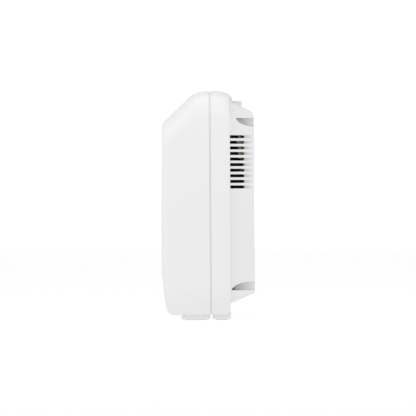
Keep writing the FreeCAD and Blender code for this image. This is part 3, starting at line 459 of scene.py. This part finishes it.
def dress_frame(looks):
    for node, look in LOOK.items():
        dress(nodes[node], looks[look])
    for node, colours in WIRES.items():
        low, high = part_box(node)
        dress(nodes[node], bundle_of_wires("wires_of_" + node, colours, low.x, high.x))


# ---- building blocks of the added pieces ----
def finished(mesh, name, made, body):
    """Turns a bmesh into a piece with its material, riding on a body."""
    data = bpy.data.meshes.new(name)
    bmesh.ops.recalc_face_normals(mesh, faces=mesh.faces)
    mesh.to_mesh(data)
    mesh.free()
    piece = bpy.data.objects.new(name, data)
    bpy.context.scene.collection.objects.link(piece)
    for one in made if isinstance(made, list) else [made]:
        data.materials.append(one)
    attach(piece, body)
    return piece


def plate(mesh, points, y_near, y_far, index=0):
    """Flat polygon in the XZ plane, given thickness along Y."""
    near = [mesh.verts.new((x, y_near, z)) for x, z in points]
    far = [mesh.verts.new((x, y_far, z)) for x, z in points]
    faces = [mesh.faces.new(near), mesh.faces.new(far[::-1])]
    for here in range(len(points)):
        after = (here + 1) % len(points)
        faces.append(mesh.faces.new((near[here], far[here], far[after], near[after])))
    for face in faces:
        face.material_index = index


def block(mesh, low, high, bevel=0.0, index=0):
    """Box between two corners with its edges rounded off."""
    size = Vector(high) - Vector(low)
    middle = (Vector(high) + Vector(low)) / 2
    shape = Matrix.Translation(middle) @ Matrix.Diagonal((*size, 1.0))
    verts = bmesh.ops.create_cube(mesh, size=1.0, matrix=shape)["verts"]
    faces = {face for vert in verts for face in vert.link_faces}
    for face in faces:
        face.material_index = index
    if bevel:
        edges = {edge for vert in verts for edge in vert.link_edges}
        bmesh.ops.bevel(mesh, geom=list(edges), offset=bevel, segments=2, affect="EDGES", material=-1)


# ---- what the display shows ----
SEGMENTS = {
    "0": "abcdef", "1": "bc", "2": "abged", "3": "abgcd", "4": "fgbc", "5": "afgcd",
    "6": "afgedc", "7": "abc", "8": "abcdefg", "9": "abcdfg",
}
SLANT = 0.08                  # lean of the digits
LIT_DEPTH = 0.06 * MM
LIT_CLEAR = 0.005 * MM        # between the lit shapes and the panel behind them
SCREEN_MARGIN = 6 * MM        # round the readings, inside the panel
GAUGE_RISE = 19 * MM          # foot of the gauge above the foot of the panel
GAUGE_HEIGHT = 2.2 * MM
GAUGE_GAP = 1.2 * MM


def lit_face():
    """Y of the panel's front face, where the lit shapes sit."""
    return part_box("display_panel")[0].y


def lit_plate(mesh, points, index=0):
    front = lit_face()
    plate(mesh, points, front - LIT_DEPTH, front - LIT_CLEAR, index)


def bar(mesh, start, end, width):
    """Pointed bar of a seven-segment digit."""
    along = (Vector(end) - Vector(start)).normalized()
    side = Vector((-along.y, along.x)) * width / 2
    tip = along * width / 2
    a, b = Vector(start) + along * width * 0.08, Vector(end) - along * width * 0.08
    lit_plate(mesh, [a, a + tip + side, b - tip + side, b, b - tip - side, a + tip - side])


def digit(mesh, character, x, z, height):
    """One slanted seven-segment digit with its lower left corner at x, z."""
    wide, half, thick = height * 0.5, height / 2, height * 0.13

    def at(right, up):
        return (x + right * wide + up * half * SLANT, z + up * half)

    ends = {"a": (at(0, 2), at(1, 2)), "b": (at(1, 1), at(1, 2)), "c": (at(1, 0), at(1, 1)),
            "d": (at(0, 0), at(1, 0)), "e": (at(0, 0), at(0, 1)), "f": (at(0, 1), at(0, 2)),
            "g": (at(0, 1), at(1, 1))}
    for name in SEGMENTS[character]:
        bar(mesh, *ends[name], thick)


def disc(mesh, x, z, radius, steps=20):
    turns = [2 * math.pi * step / steps for step in range(steps)]
    lit_plate(mesh, [(x + radius * math.cos(a), z + radius * math.sin(a)) for a in turns])


def ring(mesh, x, z, radius, width, start=0.0, end=360.0, steps=28):
    """Arc of a ring, in degrees from +X."""
    for step in range(steps):
        a = math.radians(start + (end - start) * step / steps)
        b = math.radians(start + (end - start) * (step + 1) / steps)
        corners = [(radius, a), (radius, b), (radius + width, b), (radius + width, a)]
        lit_plate(mesh, [(x + r * math.cos(t), z + r * math.sin(t)) for r, t in corners])


def number(mesh, text, x, z, height):
    """Row of digits; a point or a colon takes a narrow place."""
    for character in text:
        if character == ".":
            disc(mesh, x, z, height * 0.075, 12)
            x += height * 0.2
        elif character == ":":
            disc(mesh, x + height * 0.02, z + height * 0.28, height * 0.07, 12)
            disc(mesh, x + height * 0.05, z + height * 0.72, height * 0.07, 12)
            x += height * 0.26
        else:
            digit(mesh, character, x, z, height)
            x += height * 0.74
    return x


def drop(mesh, x, z, size):
    """Water drop for the humidity reading."""
    points = [(x, z + size * 1.5)]
    for step in range(13):
        angle = math.radians(35 - 250 * step / 12)
        points.append((x + size * 0.62 * math.cos(angle), z + size * 0.62 * math.sin(angle)))
    lit_plate(mesh, points)


def thermometer(mesh, x, z, size):
    """Bulb, tube and three marks for the temperature reading."""
    disc(mesh, x, z, size * 0.5)
    width = size * 0.2
    lit_plate(mesh, [(x - width, z + size * 0.4), (x + width, z + size * 0.4),
                     (x + width, z + size * 2.1), (x - width, z + size * 2.1)])
    for step in range(3):
        level = z + size * (0.9 + 0.45 * step)
        lit_plate(mesh, [(x + size * 0.42, level), (x + size * 0.8, level),
                         (x + size * 0.8, level + size * 0.12), (x + size * 0.42, level + size * 0.12)])


def face_icon(mesh, x, z, size):
    """Calm round face for good air."""
    ring(mesh, x, z, size, size * 0.16)
    disc(mesh, x - size * 0.36, z + size * 0.28, size * 0.12)
    disc(mesh, x + size * 0.36, z + size * 0.28, size * 0.12)
    ring(mesh, x, z, size * 0.5, size * 0.13, 205.0, 335.0, 12)


def particle_icon(mesh, x, z, size):
    """Loose group of dots for the particle reading."""
    spots = [(0.0, 0.0, 0.5), (1.2, 0.5, 0.34), (0.5, 1.25, 0.3),
             (-0.8, 1.0, 0.22), (1.5, 1.5, 0.2), (-1.0, -0.4, 0.2)]
    for right, up, radius in spots:
        disc(mesh, x + right * size, z + up * size, radius * size, 14)


def rule(mesh, x0, x1, z, width):
    """Level strip from x0 to x1, standing on z."""
    lit_plate(mesh, [(x0, z), (x1, z), (x1, z + width), (x0, z + width)])


def make_readings(looks):
    """Readings, icons and dividing lines of the display."""
    low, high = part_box("display_panel")
    left, base = low.x + SCREEN_MARGIN, low.z + SCREEN_MARGIN
    right, top = high.x - SCREEN_MARGIN, high.z - SCREEN_MARGIN
    mesh = bmesh.new()
    particle_icon(mesh, left + 3 * MM, top - 8 * MM, 1.7 * MM)
    end = number(mesh, "12", left + 11 * MM, top - 21 * MM, 17 * MM)
    number(mesh, "2.5", left + 0.5 * MM, top - 20.5 * MM, 3.6 * MM)
    number(mesh, "640", end + 9 * MM, top - 18 * MM, 11 * MM)
    rule(mesh, left, right, top - 26.5 * MM, 0.25 * MM)
    thermometer(mesh, left + 3 * MM, base + 2.2 * MM, 2.3 * MM)
    number(mesh, "23.5", left + 8 * MM, base + 1.0 * MM, 7 * MM)
    drop(mesh, left + 35 * MM, base + 2.8 * MM, 2.9 * MM)
    number(mesh, "45", left + 40 * MM, base + 1.0 * MM, 7 * MM)
    number(mesh, "10:08", right - 22 * MM, base + 1.6 * MM, 5.6 * MM)
    finished(mesh, "display_readings", looks["lit_white"], "housing")
    mesh = bmesh.new()
    face_icon(mesh, right - 6.5 * MM, top - 8.5 * MM, 5.2 * MM)
    finished(mesh, "display_face_icon", looks["lit_green"], "housing")


def make_gauge(looks):
    """Bar of six coloured steps with a pointer above the present one."""
    low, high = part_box("display_panel")
    left, right = low.x + SCREEN_MARGIN, high.x - SCREEN_MARGIN
    z = low.z + GAUGE_RISE
    shades = ["lit_green", "lit_green", "lit_yellow", "lit_orange", "lit_red", "lit_red"]
    step = (right - left) / len(shades)
    mesh = bmesh.new()
    for index in range(len(shades)):
        x0, x1 = left + index * step, left + (index + 1) * step - GAUGE_GAP
        lit_plate(mesh, [(x0, z), (x1, z), (x1, z + GAUGE_HEIGHT), (x0, z + GAUGE_HEIGHT)], index)
    finished(mesh, "display_gauge", [looks[shade] for shade in shades], "housing")
    mesh = bmesh.new()
    x = left + 0.62 * step
    lit_plate(mesh, [(x, z + 2.9 * MM), (x + 1.5 * MM, z + 5.1 * MM), (x - 1.5 * MM, z + 5.1 * MM)])
    finished(mesh, "display_pointer", looks["lit_white"], "housing")


# ---- small electronics ----
# Rectangles are x from, x to, z from, z to, and all sizes here are in millimetres.
CHIPS = [(16, 26, 95, 105), (30, 35, 96, 102), (-10, -4, 100, 105), (20, 28, 44, 52), (34, 39, 45, 49)]
BOARD_BACK_TAKEN = [
    (-44, -6, 40, 90), (8, 38, 60, 82), (-36, -18, 91, 117), (14, 28, 93, 107), (28, 37, 94, 104),
    (-12, -2, 98, 107), (18, 30, 42, 54), (32, 41, 43, 51), (-38, -26, 18, 30), (18, 35, 16, 33),
    (8, 17, 14, 23), (39, 46, 85, 92), (-30, -20, 30, 36), (-6, 6, 25, 31), (2, 9, 104, 110),
    (-46, -38, 11, 19), (38, 46, 11, 19), (-46, -38, 110, 117), (38, 46, 110, 117),
    (9.5, 12.5, 82, 118),
]
BOARD_FRONT_TAKEN = [
    (-52, 52, 36, 43), (11, 20, 28, 35), (-11, 11, 28, 43),
    (-46, -38, 11, 19), (38, 46, 11, 19), (-46, -38, 109, 117), (38, 46, 109, 117),
]
SENSOR_BOARD_TAKEN = [
    (25, 35, 100, 110), (36, 39, 108, 111), (13, 19, 102, 108), (41, 50, 95, 103),
    (41.5, 47.5, 104.5, 110.5),
]
BOARD_AREA = (-44, 44, 13, 115)
SENSOR_BOARD_AREA = (14, 48, 98.5, 111.5)

LEG_PITCH = 0.8
KEEP_OFF = 1.0                # between a small part and anything else
SMALL_LONG, SMALL_SHORT = 0.85, 0.42      # half sizes of a small part
SMALL_GAP = 0.3
CONTACTS = 12
CONTACT_PITCH = 0.5


def make_chip_legs(looks):
    """Bent legs along both long sides of every chip on the main board."""
    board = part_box("main_board")[1].y
    mesh = bmesh.new()
    for x0, x1, z0, z1 in CHIPS:
        count = int((z1 - z0) / LEG_PITCH)
        pitch = (z1 - z0) / count
        for index in range(count):
            z = (z0 + (index + 0.5) * pitch) * MM
            for edge, out in ((x0 * MM, -1), (x1 * MM, 1)):
                leg(mesh, edge, out, board, z)
    finished(mesh, "chip_legs", looks["tin"], "housing")


def leg(mesh, x, out, board, z):
    """Gull-wing leg: shoulder, slope and foot."""
    half = 0.15 * MM
    line = [(0, 0.75), (0.35, 0.75), (0.65, 0.12), (1.15, 0.12)]
    top = [(x + out * a * MM, board + (b + 0.06) * MM) for a, b in line]
    low = [(x + out * a * MM, board + (b - 0.08) * MM) for a, b in line]
    outline = top + low[::-1]
    near = [mesh.verts.new((px, py, z - half)) for px, py in outline]
    far = [mesh.verts.new((px, py, z + half)) for px, py in outline]
    count = len(outline)
    for step in range(len(line) - 1):
        a, b, c, d = step, step + 1, count - 2 - step, count - 1 - step
        mesh.faces.new([near[k] for k in (a, b, c, d)])
        mesh.faces.new([far[k] for k in (d, c, b, a)])
    for here in range(count):
        after = (here + 1) % count
        mesh.faces.new((near[here], far[here], far[after], near[after]))


def taken(x, z, spots):
    return any(x0 - KEEP_OFF < x < x1 + KEEP_OFF and z0 - KEEP_OFF < z < z1 + KEEP_OFF
               for x0, x1, z0, z1 in spots)


def make_small_parts(looks, name, seed, tries, area, y, out, spots):
    """Scatter of chip resistors and capacitors with tinned ends on one face of a board."""
    rng = random.Random(seed)
    mesh = bmesh.new()
    used = list(spots)
    for _ in range(tries):
        x = rng.uniform(area[0], area[1])
        z = rng.uniform(area[2], area[3])
        flat = rng.random() < 0.5
        tall = rng.choice((0.45, 0.6, 0.8))
        if taken(x, z, used):
            continue
        half = (SMALL_LONG, SMALL_SHORT) if flat else (SMALL_SHORT, SMALL_LONG)
        room = (half[0] + SMALL_GAP, half[1] + SMALL_GAP)
        used.append((x - room[0], x + room[0], z - room[1], z + room[1]))
        ys = sorted((y, y + out * tall * MM))
        block(mesh, ((x - half[0]) * MM, ys[0], (z - half[1]) * MM),
              ((x + half[0]) * MM, ys[1], (z + half[1]) * MM), 0.05 * MM, 0)
        for end in (-1, 1):
            cx = x + (half[0] - 0.1) * end if flat else x
            cz = z if flat else z + (half[1] - 0.1) * end
            reach = (0.22, half[1] + 0.03) if flat else (half[0] + 0.03, 0.22)
            tops = sorted((y, y + out * (tall + 0.03) * MM))
            block(mesh, ((cx - reach[0]) * MM, tops[0], (cz - reach[1]) * MM),
                  ((cx + reach[0]) * MM, tops[1], (cz + reach[1]) * MM), 0.04 * MM, 1)
    finished(mesh, name, [looks["chip"], looks["tin"]], "housing")


def scatter_parts(looks):
    """Small parts on the faces of the main board and the sensor board."""
    low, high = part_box("main_board")
    make_small_parts(looks, "board_small_parts", 5, 90, BOARD_AREA, high.y, 1, BOARD_BACK_TAKEN)
    make_small_parts(looks, "board_front_parts", 8, 60, BOARD_AREA, low.y, -1, BOARD_FRONT_TAKEN)
    low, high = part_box("sensor_board")
    make_small_parts(looks, "sensor_small_parts", 3, 16, SENSOR_BOARD_AREA, high.y, 1, SENSOR_BOARD_TAKEN)


def make_usb_contacts(looks):
    """Gilt contact strips on both faces of the socket's tongue."""
    low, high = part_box("usb_tongue")
    middle = (low.y + high.y) / 2
    mesh = bmesh.new()
    for index in range(CONTACTS):
        x = (index - (CONTACTS - 1) / 2) * CONTACT_PITCH * MM
        for side in (-1, 1):
            near, far = sorted((middle + side * 0.33 * MM, middle + side * 0.39 * MM))
            block(mesh, (x - 0.14 * MM, near, low.z + 0.5 * MM),
                  (x + 0.14 * MM, far, low.z + 4.0 * MM), 0.02 * MM)
    finished(mesh, "usb_contacts", looks["gold"], "housing")


# ---- outside details ----
def make_button_ribs(looks):
    """Three low ribs that mark the button for the fingertip."""
    low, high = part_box("rear_button")
    middle = (low.x + high.x) / 2
    mesh = bmesh.new()
    for index in (-1, 0, 1):
        x = middle + index * 2.4 * MM
        block(mesh, (x - 0.45 * MM, low.y + 2.0 * MM, high.z - 0.2 * MM),
              (x + 0.45 * MM, high.y - 2.0 * MM, high.z + 0.22 * MM), 0.15 * MM)
    finished(mesh, "button_ribs", looks["button"], "button")


def make_label_print(looks):
    """Frame line and plain bars printed on the rating label."""
    low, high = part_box("rear_label")
    near, far = high.y - 0.005 * MM, high.y + 0.02 * MM
    mesh = bmesh.new()

    def strip(x0, x1, z0, z1):
        plate(mesh, [(x0, z0), (x1, z0), (x1, z1), (x0, z1)], near, far)

    edge, line = 1.2 * MM, 0.18 * MM
    x0, x1, z0, z1 = low.x + edge, high.x - edge, low.z + edge, high.z - edge
    strip(x0, x1, z0, z0 + line)
    strip(x0, x1, z1 - line, z1)
    strip(x0, x0 + line, z0, z1)
    strip(x1 - line, x1, z0, z1)
    rng = random.Random(11)
    x = x0 + 3 * MM
    while x < x0 + 20 * MM:
        wide = rng.choice((0.2, 0.35, 0.55)) * MM
        strip(x, x + wide, z0 + 3 * MM, z0 + 9 * MM)
        x += wide + rng.choice((0.25, 0.45)) * MM
    finished(mesh, "label_print", looks["print"], "housing")


make_camera()
make_studio()
looks = make_materials()
dress_frame(looks)
make_readings(looks)
make_gauge(looks)
make_chip_legs(looks)
scatter_parts(looks)
make_usb_contacts(looks)
make_button_ribs(looks)
make_label_print(looks)
